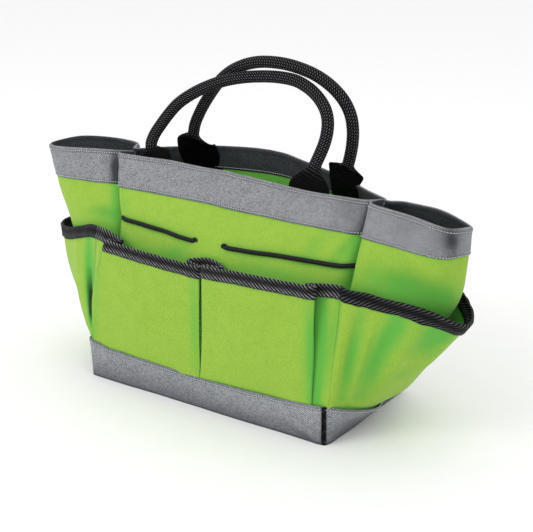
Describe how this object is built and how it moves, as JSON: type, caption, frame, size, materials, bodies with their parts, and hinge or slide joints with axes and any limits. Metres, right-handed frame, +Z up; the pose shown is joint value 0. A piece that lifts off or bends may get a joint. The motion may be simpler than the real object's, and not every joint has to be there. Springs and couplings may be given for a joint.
{
  "type": "garden tool bag",
  "caption": "Open-topped fabric garden tool bag with a ring of outside pockets, grey bands, an elastic cord and swinging webbing handles.",
  "frame": {"origin": "middle of the underside of the base", "axes": "+X along the bag's length to its right end, +Y from the front to the back, +Z up"},
  "size_m": [0.5097, 0.1692, 0.3319],
  "materials": {
    "shell_fabric": "plain-woven polyester with a soft sheen",
    "pocket_fabric": "plain-woven polyester with a soft sheen",
    "grey_band": "coarse melange canvas",
    "base_fabric": "coarse melange canvas",
    "stiffener": "matt sheet",
    "binding_tape": "ribbed twill tape",
    "elastic": "braided elastic",
    "webbing": "woven polypropylene webbing",
    "core_rope": "twisted rope"
  },
  "bodies": {
    "root": {"front_panel": "shell_fabric", "back_panel": "shell_fabric", "left_end_panel": "shell_fabric", "right_end_panel": "shell_fabric", "front_pocket_panel": "pocket_fabric", "back_pocket_panel": "pocket_fabric", "left_pocket_panel": "pocket_fabric", "right_pocket_panel": "pocket_fabric", "front_base_band": "grey_band", "back_base_band": "grey_band", "left_base_band": "grey_band", "right_base_band": "grey_band", "front_rim_band": "grey_band", "back_rim_band": "grey_band", "left_rim_band": "grey_band", "right_rim_band": "grey_band", "base_panel": "base_fabric", "base_board": "stiffener", "front_corner_strip": "binding_tape", "back_corner_strip": "binding_tape", "front_pocket_binding": "binding_tape", "back_pocket_binding": "binding_tape", "left_pocket_binding": "binding_tape", "right_pocket_binding": "binding_tape", "elastic_cord": "elastic", "front_left_tab": "webbing", "front_right_tab": "webbing", "back_left_tab": "webbing", "back_right_tab": "webbing"},
    "front_handle": {"front_handle_webbing": "webbing", "front_handle_core": "core_rope"},
    "back_handle": {"back_handle_webbing": "webbing", "back_handle_core": "core_rope"}
  },
  "joints": [
    {"name": "front_handle_swing", "type": "hinge", "parent": "root", "child": "front_handle", "pos_m": [0, -0.012, 0.229], "axis": [1, 0, 0], "range_deg": [0, 140]},
    {"name": "back_handle_swing", "type": "hinge", "parent": "root", "child": "back_handle", "pos_m": [0, 0.047, 0.236], "axis": [-1, 0, 0], "range_deg": [0, 125]}
  ]
}
